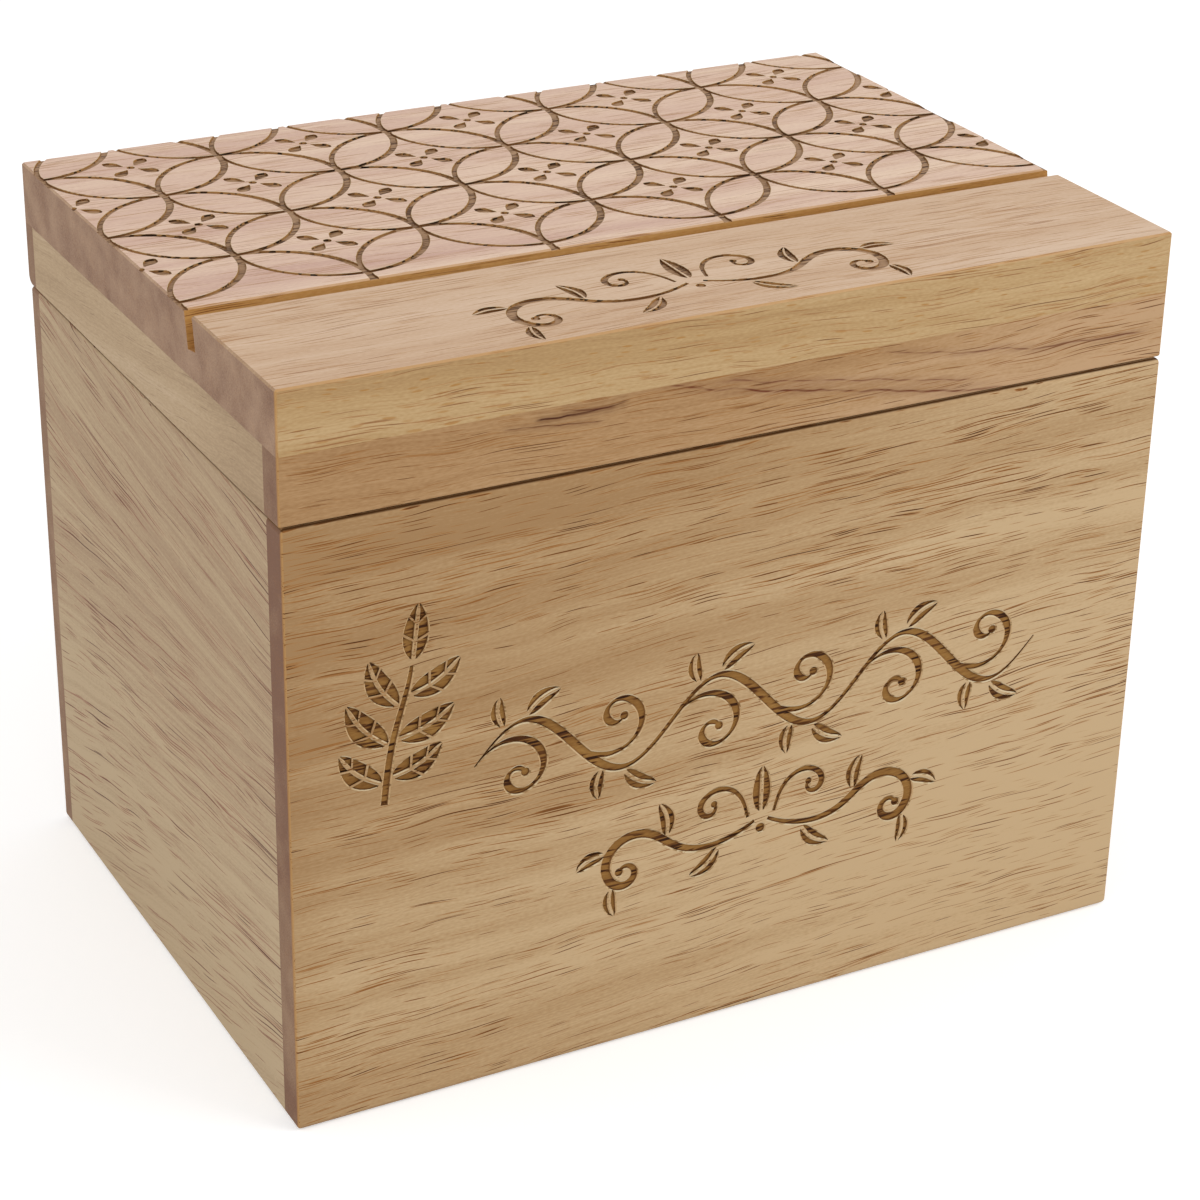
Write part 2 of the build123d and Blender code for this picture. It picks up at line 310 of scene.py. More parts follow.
def wood_tone(tree, plan, bent):
    """The wood's tone from dark at 0 to pale at 1, shared by bands, streaks, fibres and specks."""
    tone = 0.0
    shares = 0.0
    for number, key in enumerate(("bands", "streaks", "fibres", "specks")):
        length, width, share = plan[key]
        patch = layer(tree, bent, length, width, 1.5 if number < 2 else 0.0, 3.0 * number)
        tone = add(tree, "Math", {0: patch, 1: share, 2: tone}, operation="MULTIPLY_ADD")
        shares += share
    low = shares * (NOISE_MIDDLE - plan["range"] / 2)
    high = shares * (NOISE_MIDDLE + plan["range"] / 2)
    return add(tree, "MapRange", {"Value": tone, "From Min": low, "From Max": high,
                                  "To Min": plan["lift"], "To Max": 1.0 + plan["lift"]}, clamp=False)


ARRIS_SLANT = (0.15, 0.4)     # the product of two parts of the normal where an arris begins and is full
ARRIS_STRENGTH = 0.6


def arris_highlight(tree, normal, colour, way, code):
    """Painted highlight on an eased edge between a board's broad faces and those square to way: a paler,
    warmer tone where the edge catches the light.
    """
    slant = add(tree, "Math", {0: normal.outputs["Y"], 1: normal.outputs[way]}, operation="MULTIPLY")
    slant = add(tree, "Math", {0: slant}, operation="ABSOLUTE")
    edge = add(tree, "MapRange", {"Value": slant, "From Min": ARRIS_SLANT[0], "From Max": ARRIS_SLANT[1],
                                  "To Min": 0.0, "To Max": ARRIS_STRENGTH})
    return add(tree, "MixRGB", {0: edge, 1: colour, 2: srgb(code)})


RIM_EDGES = (("X", 89.4), ("Y", 63.4))      # mm from the middle, where a rim's rounded outer edge begins
SEAM_FADE = 0.2                             # mm, further in


def seam(tree, place, is_top, colour, code):
    """Painted shade on the outer edge of a rim, standing in for the shadow in the closed joint's narrow gap.
    """
    parts = add(tree, "SeparateXYZ", {0: place})
    for axis, half in RIM_EDGES:
        out = add(tree, "Math", {0: parts.outputs[axis]}, operation="ABSOLUTE")
        dark = add(tree, "MapRange", {"Value": out, "From Min": (half - SEAM_FADE) * MM,
                                      "From Max": half * MM})
        dark = add(tree, "Math", {0: dark, 1: is_top}, operation="MULTIPLY")
        colour = add(tree, "MixRGB", {0: dark, 1: colour, 2: srgb(code)})
    return colour


def flecks(tree, bent, crowd, is_top, is_end, colour, size, code, strength):
    """Short broad flecks on the long edge of a board, where the saw meets the vessels at an angle."""
    fleck = vessels(tree, bent, size, crowd, 9.0)
    off_top = add(tree, "Math", {0: 1.0, 1: is_top}, operation="SUBTRACT")
    edge_only = add(tree, "Math", {0: off_top, 1: is_end}, operation="SUBTRACT", use_clamp=True)
    show = fleck
    for part in (edge_only, strength):
        show = add(tree, "Math", {0: show, 1: part}, operation="MULTIPLY")
    return add(tree, "MixRGB", {0: show, 1: colour, 2: srgb(code)})


VEIN_STRAY = 2.0              # mm that a vein strays from its arc
VEIN_BENDS = (9, 40)          # mm, the length of its bends, and a width that keeps it in one line
VEIN_HALO = (5, 0.3)          # a faint stain round it: so many times as wide, and this strong
VEIN_END = 0.25               # it fades where its arch is lower than this, of 1 in the middle
VEIN_BREAKS = (16, 0.55)      # mm, the length and width of the patches where it fades
BREAK_NOISE = (0.38, 0.58)    # the noise of a faded and of a full stretch
BREAK_SHOWN = 0.3             # how much of it is left in a faded stretch


def dark_vein(tree, place, bent, colour, start, stop, bow, width, code, strength):
    """A dark line in the wood from start to stop, (x, z) in mm, that bows and fades at both ends.

    Its width is in mm, from the middle out, and strength 1 is the full tone of its code.
    """
    parts = add(tree, "SeparateXYZ", {0: place})
    share = add(tree, "MapRange", {"Value": parts.outputs["X"], "From Min": start[0] * MM,
                                   "From Max": stop[0] * MM})
    line = add(tree, "MapRange", {"Value": share, "To Min": (start[1] - VEIN_STRAY / 2) * MM,
                                  "To Max": (stop[1] - VEIN_STRAY / 2) * MM})
    arch = add(tree, "Math", {0: share, 1: pi}, operation="MULTIPLY")
    arch = add(tree, "Math", {0: arch}, operation="SINE")
    line = add(tree, "Math", {0: arch, 1: bow * MM, 2: line}, operation="MULTIPLY_ADD")
    stray = layer(tree, bent, *VEIN_BENDS, 2.0, 7.0)
    line = add(tree, "Math", {0: stray, 1: VEIN_STRAY * MM, 2: line}, operation="MULTIPLY_ADD")
    off = add(tree, "Math", {0: parts.outputs["Z"], 1: line}, operation="SUBTRACT")
    off = add(tree, "Math", {0: off}, operation="ABSOLUTE")
    core = add(tree, "MapRange", {"Value": off, "From Min": width * MM, "From Max": 0.0,
                                  "To Min": 0.0, "To Max": 1.0}, interpolation_type="SMOOTHSTEP")
    halo = add(tree, "MapRange", {"Value": off, "From Min": VEIN_HALO[0] * width * MM, "From Max": 0.0,
                                  "To Min": 0.0, "To Max": VEIN_HALO[1]}, interpolation_type="SMOOTHSTEP")
    both = add(tree, "Math", {0: core, 1: halo}, operation="MAXIMUM")
    ends = add(tree, "MapRange", {"Value": arch, "From Min": 0.0, "From Max": VEIN_END})
    breaks = layer(tree, bent, *VEIN_BREAKS, 1.0, 2.0)
    breaks = add(tree, "MapRange", {"Value": breaks, "From Min": BREAK_NOISE[0], "From Max": BREAK_NOISE[1],
                                    "To Min": BREAK_SHOWN, "To Max": 1.0})
    show = both
    for part in (ends, breaks, strength):
        show = add(tree, "Math", {0: show, 1: part}, operation="MULTIPLY")
    return add(tree, "MixRGB", {0: show, 1: colour, 2: srgb(code)})


LEFT_WOOD = ("#9A7C64", "#AF9577", "#C0A988")
LEFT_VESSELS = ("#A3765E", "#82523E", "#3A2219")
LID_END = ("#82624F", "#9B7C65", "#B09177")
SEAM_SHADE = "#553619"              # painted shade: the dark of the closed joint's narrow gap

# Sanded rubberwood on the case's front: warm tan that pales to the right and below its middle, with short
# dark vessels that climb slightly, so that the eye reads a plain-sawn board.
front_wood = rubberwood(
    "sanded_rubberwood_front", seed=(0.3, 0.1, 0.2), slope=0.04, lift=-0.12, seam=SEAM_SHADE,
    shade=(("X", -90, 90, 0.65), ("X", -78, -92, -0.2), ("Z", 106, 112, -0.25), ("Z", 62, 38, 0.30),
           ("Z", 60, 85, -0.18), ("Z", 25, 0, -0.28)),
    crowding=(("Z", 95, 108, 0.06), ("Z", 60, 30, -0.08)))

# Sanded rubberwood on the lid: pinkish and pale on top, with a slightly deeper stave in front of the slot.
# The vessels are open and light there, and show as short broad flecks on the lid's edges.
lid_wood = rubberwood(
    "sanded_rubberwood_lid", seed=(1.3, 0.4, 0.7), shade=(("X", -90, 90, 0.2),), arrises="XZ",
    side=("#A8845A", "#BC9A6C", "#CEB084"), top=("#C6A091", "#D9B9A5", "#E8CDB5"), end=LID_END,
    stave=(-25.1, ("#BC977A", "#CEAE90", "#DABEA4")), top_vessels=0.8,
    vessel_tones=("#B88A5A", "#9C6A40", "#5E3A20"), vessel_strength=0.8,
    flecks=((5.5, 0.9, 0.27), "#AE7A3A", 0.85), crowding=(("X", 0, 80, 0.08),))

# Sanded rubberwood on the lid's front rail: browner at its left, crossed by thin dark veins that sink to the
# right, with a short dark cluster left of them.
rail_wood = rubberwood(
    "sanded_rubberwood_lid_front", seed=(1.9, 0.8, 0.1), side=("#A0784F", "#B58F65", "#C4A07A"),
    shade=(("X", 0, 80, 0.4),), vessel_strength=0.85,
    veins=(dict(start=(-20, 134.6), stop=(56, 120.6), bow=-0.8, width=0.45, code="#6A3420", strength=1.0),
           dict(start=(-8, 133.4), stop=(50, 123.6), bow=-0.2, width=0.28, code="#7A4A34", strength=0.9),
           dict(start=(26, 133.0), stop=(88, 127.2), bow=-1.8, width=0.35, code="#744630", strength=0.9),
           dict(start=(-43, 131.6), stop=(-24, 132.6), bow=-0.4, width=0.42, code="#461C10", strength=1.0),
           dict(start=(-38, 132.9), stop=(-27, 131.9), bow=-0.2, width=0.3, code="#5A2A18", strength=0.9),
           dict(start=(-49, 131.4), stop=(-29, 129.6), bow=-0.3, width=0.24, code="#60321C", strength=1.0)))

# Sanded rubberwood on the case's left side: greyer, with long dark vessels that close into nested points
# towards the front, as where a growth ring runs out.
side_wood = rubberwood(
    "sanded_rubberwood_left", grain="Y", seed=(2.3, 1.4, 0.7), points=(80, 0.25, 14, 6), seam=SEAM_SHADE,
    bands=(220, 5, 1.0), streaks=(130, 1.6, 0.6), lift=0.12, shade=(("Z", 75, 22, 0.35),),
    side=LEFT_WOOD, top=LEFT_WOOD, vessels=((90, 0.75, 0.21), (45, 0.60, 0.22), (20, 0.48, 0.24)),
    vessel_tones=LEFT_VESSELS)

# Sanded rubberwood on the case's right side: the left side's fellow, with lower points and fewer vessels.
right_wood = rubberwood(
    "sanded_rubberwood_right", grain="Y", seed=(3.3, 0.4, 1.7), points=(48, 0.3, 9, 8), seam=SEAM_SHADE, lift=0.08,
    side=LEFT_WOOD, top=LEFT_WOOD, vessels=((80, 0.70, 0.18), (40, 0.55, 0.20), (18, 0.45, 0.22)),
    vessel_tones=LEFT_VESSELS, vessel_strength=0.8)

# Sanded rubberwood on the lid's side rails: pale and quiet, with faint vessels, darker towards the front.
side_rail_wood = rubberwood(
    "sanded_rubberwood_side_rails", grain="Y", seed=(2.9, 1.1, 0.3), slope=-0.12,
    side=("#A48A6C", "#B89E7E", "#C8B092"), shade=(("Y", -15, -55, -0.4),),
    vessels=((60, 0.62, 0.14), (30, 0.50, 0.16), (14, 0.42, 0.18)),
    vessel_tones=("#A3886A", "#8E7052", "#604632"), vessel_strength=0.6)

# Sanded rubberwood at the back and at the bottom: the plain tan of a board that is seldom seen.
rear_wood = rubberwood(
    "sanded_rubberwood_rear", seed=(4.1, 1.6, 0.9), lift=0.1, vessel_strength=0.8, seam=SEAM_SHADE)
bottom_wood = rubberwood(
    "sanded_rubberwood_bottom", seed=(5.2, 0.7, 1.3), side=("#A88458", "#BC9A70", "#CCAE88"),
    top=("#AC8A60", "#C0A078", "#D0B490"))

# Sawn rubberwood in the card slot: fresh from the blade and brighter, more golden than the oiled faces.
# its walls and floor are toned darker than that bright sawn wood, as painted shade inside the narrow slot
slot_wood = rubberwood(
    "sawn_rubberwood_slot_painted_shade", seed=(1.3, 0.4, 0.7), side=("#A47238", "#BC8A4C", "#CC9E60"),
    top=("#9A6C3A", "#AE7E4A", "#C0925E"), end=("#B07836", "#CA924A", "#DAA860"))

# a groove's vessels are drawn wider and shorter than they are, to show in a groove 1 or 2 mm wide
GROOVE_VESSELS = ((16, 0.95, 0.33), (10, 1.0, 0.30), (6, 0.8, 0.28))


def groove_wood(name, tones, vessel_tones):
    """Rubberwood in a laser groove, matt, with its own tones and open vessels: scorched darker than its
    board on floors and walls, the walls darker still as painted shade, and pale on the eased slopes as a
    painted highlight.
    """
    return rubberwood(name, seed=(0.3, 0.1, 0.2), side=tones, top=tones, end=tones,
                      vessel_tones=vessel_tones, vessels=GROOVE_VESSELS, crowding=(("Z", -1, 0, 0.12),))


# a deep brown floor on the front, with vessels close to black
front_floor = groove_wood("burnt_rubberwood_front_groove", ("#7C5226", "#946A36", "#AA8046"),
                    ("#6E4520", "#4C2A10", "#2C1404"))
# a lighter floor on the lid, where the beam was weaker, just dark enough to read against the pale top
lid_floor = groove_wood("burnt_rubberwood_lid_groove", ("#8A6849", "#A58262", "#BC9A7A"),
                  ("#7C5C3F", "#654832", "#4A3222"))
# the steep walls, burnt dark by the laser and toned darker still as painted shade, which draw a thin dark
# outline round each stroke
burnt_wall_and_shade = groove_wood("burnt_and_shaded_rubberwood_groove_wall", ("#55351A", "#694322", "#80562E"),
                   ("#44280F", "#34200F", "#221005"))
# the shallow slope from the wall to the face, toned pale as a painted highlight, a pale line beside the dark
# one
painted_highlight_edge = groove_wood("painted_highlight_rubberwood_groove_edge", ("#C4AE8A", "#D4C09C", "#DECDAC"),
                   ("#B59A70", "#A5845C", "#8A6840"))

BRASS_CLOUD = 3.85            # mm, the size of a cloud of tarnish
BRASS_MARK = 0.05             # mm, the depth of a brush mark, drawn deeper than it is so that it shows
CLOUD_NOISE = (0.35, 0.65)    # the noise that goes from the darker tone to the paler one
DULL_NOISE = (0.3, 0.7)       # the noise that goes from the most polished to the dullest
POLISHED, DULLED = 0.06, 0.08       # how far that takes the roughness down and up


def satin_brass(name, tones, roughness, brushed):
    """Yellow brass: a soft metal shine with slow changes of tone and fine marks, (length, width) in mm."""
    material, tree = new_material(name)
    place = add(tree, "TexCoord").outputs["Object"]
    cloud = layer(tree, place, BRASS_CLOUD, BRASS_CLOUD, 3.0)
    cloudy = add(tree, "MapRange", {"Value": cloud, "From Min": CLOUD_NOISE[0], "From Max": CLOUD_NOISE[1]})
    colour = add(tree, "MixRGB", {0: cloudy, 1: srgb(tones[0]), 2: srgb(tones[1])})
    dull = add(tree, "MapRange", {"Value": cloud, "From Min": DULL_NOISE[0], "From Max": DULL_NOISE[1],
                                  "To Min": roughness - POLISHED, "To Max": roughness + DULLED})
    marks = layer(tree, place, *brushed, 2.0)
    bump = add(tree, "Bump", {"Height": marks, "Strength": 0.2, "Distance": BRASS_MARK * MM})
    surface = add(tree, "BsdfPrincipled", {"Base Color": colour, "Metallic": 1.0, "Roughness": dull,
                                           "Normal": bump})
    add(tree, "OutputMaterial", {0: surface})
    return material


# stamped satin brass: plates brushed along their length, so a soft streak of light lies across them
leaf_brass = satin_brass("stamped_satin_brass", ("#C4A25A", "#D4B674"), 0.36, (6.0, 0.12))
# turned brass: cleaner and a little brighter than the plates
turned_brass = satin_brass("turned_brass", ("#CBA85E", "#DABD7C"), 0.27, (0.5, 0.2))


def wood_of(node):
    """The board that a piece was cut from."""
    if node == "case_bottom_panel":
        return bottom_wood
    if node in ("case_rear_board", "lid_rear_rail"):
        return rear_wood
    if node in ("lid_left_rail", "lid_right_rail"):
        return side_rail_wood
    if node == "case_left_board":
        return side_wood
    if node == "case_right_board":
        return right_wood
    if node == "lid_top_panel":
        return lid_wood
    return rail_wood if node == "lid_front_rail" else front_wood


def dress_nodes():
    for node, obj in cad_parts.items():
        obj.data.materials.clear()
        if "hinge" in node:
            obj.data.materials.append(leaf_brass if "leaf" in node else turned_brass)
        else:
            obj.data.materials.append(wood_of(node))


# ---------------------------------------------------------------- engraving
# A design is drawn in millimetres on its board: (across, up) on the front, (across, back) on the lid.
STEP = 1.1                # the longest straight piece of a pen line
STEP_TURN = 13            # the most degrees that one piece turns
# The levels of a groove, from its floor up: the height over the board's face, and how far each side stands
# out from the stroke's edge. The last level stands just clear of the face, so that the cut goes through it.
FRONT_CUT = ((-0.45, -0.10), (-0.14, 0.0), (0.02, 0.29))
LID_CUT = ((-0.40, -0.10), (-0.05, 0.0), (0.02, 0.09))
FINE = 0.5                # a stroke narrower than this has its levels closer together, down to a point
FLOOR, WALL, EASED = 0, 1, 2      # the finishes of a groove's faces

DROP_PIECES = 9
DROP_FINEST = 0.06        # half the width of a drop's base
SEED_SIDES = 14
LEAF_PIECE = 0.8          # the longest straight piece of a leaf's edge
LEAF_END = 0.01           # the share of a leaf left uncut at each end
RIB = 0.25                # the width of a leaf's middle rib at the board's face
CELL_RIB = 0.45           # the fine rib between a leaf's cells, before its sides are eased
CELL_SLANT = 0.12         # how much further along a cell's outer edge lies, as a share of the leaf
RIB_TIP = 0.25            # the middle rib's width at the tip, as a share of its full width
RIB_RISE = 5              # it is full from 0.75 / 5 of the leaf's length behind the tip
LEAF_CLEAR = 1.2          # from the middle of a stroke to the base of its leaf


def on_front(x, z, height):
    return (x * MM, FRONT - height * MM, z * MM)


def on_lid(x, y, height):
    return (x * MM, y * MM, TOP + height * MM)


def pen_line(start, heading, *bends):
    """A line that the pen draws as it turns: a bend is (length, turning at first, turning at last).

    A turning is in degrees per mm.
    """
    path = [Vector(start)]
    angle = radians(heading)
    for length, first, last in bends:
        pieces = max(3, ceil(length / STEP), ceil(length * max(abs(first), abs(last)) / STEP_TURN))
        for i in range(pieces):
            angle += radians(first + (last - first) * (i + 0.5) / pieces) * length / pieces
            path.append(path[-1] + Vector((cos(angle), sin(angle))) * length / pieces)
    return path


def heading_at(path, i):
    """The direction of a line at its point i, as a unit vector."""
    return (path[min(i + 1, len(path) - 1)] - path[max(i - 1, 0)]).normalized()


def mirrored(path, x):
    return [Vector((2 * x - p.x, p.y)) for p in path]


NIB_TIP = 0.25            # how wide a stroke starts and ends, as a share of its full width
NIB_RISE = 7              # it is full from 0.75 / 7 of its length on


def nib(thin, thick, slant):
    """A broad pen: thin along its slant, thick across it, and fine at both ends of the stroke."""
    def half_width(t, heading):
        ends = min(1.0, NIB_TIP + t * NIB_RISE, NIB_TIP + (1 - t) * NIB_RISE)
        return (thin + (thick - thin) * sin(heading - radians(slant)) ** 2) / 2 * ends
    return half_width


def swelling(start, middle, end):
    """A stroke that swells towards its middle."""
    def half_width(t, heading):
        return (start + (end - start) * t + (middle - (start + end) / 2) * sin(pi * t)) / 2
    return half_width


class Cutter:
    """The solid that is taken out of a board: many grooves in one mesh, with walls that lean outwards.

    A stroke swells and narrows while its depth stays, which no bevelled curve gives, so each groove is laid
    ring by ring along its line.
    """

    def __init__(self, name, lay, levels):
        self.name = name
        self.lay = lay
        self.levels = levels
        self.vertices = []
        self.faces = []
        self.finishes = []

    def groove(self, left, right, closed=False):
        """One groove between two edges."""
        rings = []
        for a, b in zip(left, right):
            out = (a - b).normalized() * min(1.0, (a - b).length / FINE)
            ring = []
            for height, wider in self.levels:
                ring.append(self.vertex(a + out * wider, height))
                ring.append(self.vertex(b - out * wider, height))
            rings.append(ring)
        count = len(rings)
        top = 2 * (len(self.levels) - 1)
        for i in range(count if closed else count - 1):
            here, there = rings[i], rings[(i + 1) % count]
            self.face((here[0], there[0], there[1], here[1]), FLOOR)
            for low in range(0, top, 2):
                finish = WALL if low == 0 else EASED
                self.face((here[low], here[low + 2], there[low + 2], there[low]), finish)
                self.face((here[low + 1], there[low + 1], there[low + 3], here[low + 3]), finish)
            self.face((here[top], here[top + 1], there[top + 1], there[top]), FLOOR)
        if not closed:
            self.face(tuple(rings[0][0::2] + rings[0][1::2][::-1]), WALL)
            self.face(tuple(rings[-1][1::2] + rings[-1][0::2][::-1]), WALL)

    def vertex(self, point, height):
        self.vertices.append(self.lay(point[0], point[1], height))
        return len(self.vertices) - 1

    def face(self, corners, finish):
        self.faces.append(corners)
        self.finishes.append(finish)

    def stroke(self, path, half_width, closed=False):
        """A stroke along a line: half_width takes the share of its length passed and its heading."""
        left, right = [], []
        for i, p in enumerate(path):
            if closed:
                along = (path[(i + 1) % len(path)] - path[i - 1]).normalized()
            else:
                along = heading_at(path, i)
            across = Vector((-along.y, along.x)) * half_width(i / (len(path) - 1), atan2(along.y, along.x))
            left.append(p + across)
            right.append(p - across)
        self.groove(left, right, closed)

    def drop(self, base, tip, width):
        """A small petal: the first power moves its widest place towards the tip, the second rounds it."""
        base, tip = Vector(base), Vector(tip)
        path = [base + (tip - base) * i / DROP_PIECES for i in range(DROP_PIECES + 1)]

        def half_width(t, heading):
            return DROP_FINEST + width / 2 * sin(pi * (0.04 + 0.94 * t) ** 1.5) ** 0.8
        self.stroke(path, half_width)

    def seed(self, centre, radius):
        """A round dimple."""
        x, y = centre
        angles = [2 * pi * i / SEED_SIDES for i in range(SEED_SIDES)]
        rings = []
        for height, wider in self.levels:
            reach = radius + wider
            rings.append([self.vertex((x + reach * cos(a), y + reach * sin(a)), height) for a in angles])
        for low, high, finish in zip(rings, rings[1:], (WALL, EASED)):
            for i in range(SEED_SIDES):
                self.face((low[i - 1], low[i], high[i], high[i - 1]), finish)
        self.face(tuple(rings[0][::-1]), FLOOR)
        self.face(tuple(rings[-1]), FLOOR)

    def leaf(self, base, tip, width, bend=0.0, cells=1):
        """A leaf with its middle rib left standing, and a fine rib between its cells."""
        base, tip = Vector(base), Vector(tip)
        rib = 2 * self.levels[-1][1] + RIB
        along = tip - base
        across = Vector((-along.y, along.x)).normalized()
        gap = CELL_RIB / along.length
        slant = CELL_SLANT if cells > 1 else 0
        cut = 1 - 2 * LEAF_END
        for side in (1, -1):
            for cell in range(cells):
                start = LEAF_END + cut * cell / cells + (gap / 2 if cell else 0)
                stop = LEAF_END + cut * (cell + 1) / cells - (gap / 2 if cell < cells - 1 else 0)
                steps = max(5, round((stop - start) * along.length / LEAF_PIECE))
                outer, inner = [], []
                for i in range(steps + 1):
                    t = start + (stop - start) * i / steps
                    further = min(1 - LEAF_END, t + slant * sin(pi * t))
                    half = (width - rib) / 2 * self.swell(further)
                    for line, share, reach in ((outer, further, half), (inner, t, 0)):
                        middle = base + along * share + across * bend * sin(pi * share)
                        half_rib = rib / 2 * min(1.0, RIB_TIP + RIB_RISE * (1 - share))
                        line.append(middle + across * side * (reach + half_rib))
                self.groove(*((outer, inner) if side > 0 else (inner, outer)))

    @staticmethod
    def swell(t):
        """How wide a leaf is along its length, from 0 to 1: widest just before its middle, and full."""
        return max(0.0, sin(pi * t ** 0.8)) ** 0.85

    def leaf_on(self, path, share, turn, length, width, bend=0.0, cells=1):
        """A leaf beside a line, its base clear of the stroke, turned by some degrees from its heading."""
        i = round(share * (len(path) - 1))
        along = heading_at(path, i)
        side = 1 if turn > 0 else -1
        out = Vector((cos(radians(turn)) * along.x - sin(radians(turn)) * along.y,
                      sin(radians(turn)) * along.x + cos(radians(turn)) * along.y))
        base = path[i] + Vector((-along.y, along.x)) * side * LEAF_CLEAR
        self.leaf(base, base + out * length, width, bend * side, cells)

    def build(self, floor, wall, eased):
        mesh = bpy.data.meshes.new(self.name)
        mesh.from_pydata(self.vertices, [], self.faces)
        for material in (floor, wall, eased):
            mesh.materials.append(material)
        mesh.polygons.foreach_set("material_index", self.finishes)
        made = bpy.data.objects.new(self.name, mesh)
        bpy.context.scene.collection.objects.link(made)
        return made


def pick(obj):
    """Make this the one selected object."""
    bpy.ops.object.select_all(action="DESELECT")
    obj.select_set(True)
    bpy.context.view_layer.objects.active = obj


# the lid's rear field: interlaced circles on a square net, with a small flower in each
CIRCLE_RADIUS = 18.0
CIRCLE_PEN = (0.60, 0.12, 100)      # half the line's width, how much it varies, the heading of the widest
NET_START = (0.0, -20.0)
NET_ROWS = 6
NET_COLUMNS = range(-6, 7)
FIELD_FRONT = -25.2         # in the middle of the slot, so a line cut here ends in the open
FIELD_RIGHT = 90            # the lid's side edge
PETAL_FROM, PETAL_TO = 1.6, 6.0
PETAL_WIDTH = 2.4
FLOWER_SEED = 0.8
FLOWER_CLEAR = 2            # a flower whose petals come closer to the slot than this is left out


def circle_line(cutter, centre):
    """One circle, whole or cut off at the slot, with a line that is a little thicker at the right."""
    lowest = (FIELD_FRONT - centre[1]) / CIRCLE_RADIUS
    whole = lowest <= -1
    first = 0.0 if whole else atan2(lowest, sqrt(1 - lowest ** 2))
    span = 2 * pi if whole else pi - 2 * first
    pieces = round(CIRCLE_RADIUS * span / STEP)
    angles = [first + span * i / pieces for i in range(pieces if whole else pieces + 1)]
    path = [Vector((centre[0] + CIRCLE_RADIUS * cos(a), centre[1] + CIRCLE_RADIUS * sin(a))) for a in angles]
    half, swing, widest = CIRCLE_PEN
    cutter.stroke(path, lambda t, heading: half + swing * cos(heading - radians(widest)), whole)


def small_flower(cutter, centre):
    """Four petals on the diagonals round a seed."""
    middle = Vector(centre)
    for quarter in range(4):
        out = Vector((cos(radians(45 + 90 * quarter)), sin(radians(45 + 90 * quarter))))
        cutter.drop(middle + out * PETAL_FROM, middle + out * PETAL_TO, PETAL_WIDTH)
    cutter.seed(centre, FLOWER_SEED)


def lid_designs():
    """The lid's grooves, shared out so that no two in one cutter cross."""
    nets = [Cutter(f"lid_circles_{i}", on_lid, LID_CUT) for i in range(4)]
    for row in range(NET_ROWS):
        for column in NET_COLUMNS:
            centre = (NET_START[0] + CIRCLE_RADIUS * column, NET_START[1] + CIRCLE_RADIUS * row)
            if (row + column) % 2 or abs(centre[0]) > FIELD_RIGHT + CIRCLE_RADIUS:
                continue
            share = row % 2 + 2 * ((row - column) // 2 % 2)
            circle_line(nets[share], centre)
            if centre[1] - PETAL_TO > FIELD_FRONT + FLOWER_CLEAR:
                small_flower(nets[share], centre)
    names = ("lid_scrolls", "lid_curls", "lid_leaves")
    scrolls, curls, leaves = (Cutter(name, on_lid, LID_CUT) for name in names)
    paired_scrolls(scrolls, curls, leaves, (-3.5, -45.5), 1.0)
    return [*nets, scrolls, curls, leaves]


def paired_scrolls(scrolls, curls, leaves, centre, size):
    """A pair of scrolls that spring from a bud and curl away from each other, with leaves."""
    x, y = centre
    bends = (((20, 1.5, 4.6), (8, 4.6, -6.5), (16, -6.5, -10.5), (14, -10.5, -34)),
             ((6, 1.0, -7), (9, -7, -13), (10, -13, -42)))
    scroll_bends, curl_bends = [[(length * size, first / size, last / size) for length, first, last in line]
                                for line in bends]
    scroll_right = pen_line((x + 1.6 * size, y - 3.6 * size), -30, *scroll_bends)
    curl_right = pen_line((x + 3.2 * size, y - 2.2 * size), 76, *curl_bends)
    for flip in (False, True):
        scroll, curl = [mirrored(line, x) if flip else line for line in (scroll_right, curl_right)]
        side = -1 if flip else 1
        scrolls.stroke(scroll, swelling(0.7, 1.9, 0.6))
        curls.stroke(curl, swelling(0.6, 1.3, 0.5))
        leaves.seed(scroll[-1], 0.85)
        leaves.seed(curl[-1], 0.7)
        leaves.leaf_on(scroll, 0.10, -30 * side, 8.5 * size, 3.0, 0.9)
        leaves.leaf_on(scroll, 0.26, 38 * side, 8.0 * size, 3.0, 0.8)
        leaves.leaf_on(scroll, 0.44, 40 * side, 7.0 * size, 2.8, 0.7)
        leaves.leaf_on(scroll, 0.58, 46 * side, 6.5 * size, 2.6, 0.6)
    leaves.leaf((x, y - 1.4 * size), (x, y + 9.4 * size), 3.8)
    leaves.seed((x, y - 5.6 * size), 0.95)


# the running vine on the front
VINE_START = -54.0
VINE_MIDDLE = 67.3          # its middle height
VINE_HALF = 20.0            # the length of half a wave
VINE_HALVES = 6
VINE_SWING = 7.2
VINE_LONGER = 1.25          # how much longer the stem is than the straight line under it


def running_vine(stems, curls, leaves):
    """A stem that waves along the board, with a curl in each hollow and leaves on each crest."""
    pieces = round(VINE_HALF * VINE_LONGER / STEP)
    stem = [Vector((VINE_START + VINE_HALF * i / pieces, VINE_MIDDLE + VINE_SWING * sin(pi * i / pieces)))
            for i in range(pieces * VINE_HALVES + 1)]
    stems.stroke(stem, nib(0.8, 1.8, 35))
    for half in range(VINE_HALVES):
        side = 1 if half % 2 == 0 else -1
        start = half * pieces + 1
        along = heading_at(stem, start)
        curl = pen_line(stem[start], degrees(atan2(along.y, along.x)),
                        (11, -5.0 * side, -8.6 * side), (11, -8.6 * side, -12.5 * side),
                        (12, -12.5 * side, -34 * side))
        curls.stroke(curl, nib(0.7, 1.6, 35))
        leaves.seed(curl[-1], 0.85)
        share = (half + 0.5) / VINE_HALVES
        leaves.leaf_on(stem, share + 0.005, 34 * side, 7.6, 3.2, 0.8)
        leaves.leaf_on(stem, share - 0.035, 62 * side, 6.0, 2.8, 0.6)


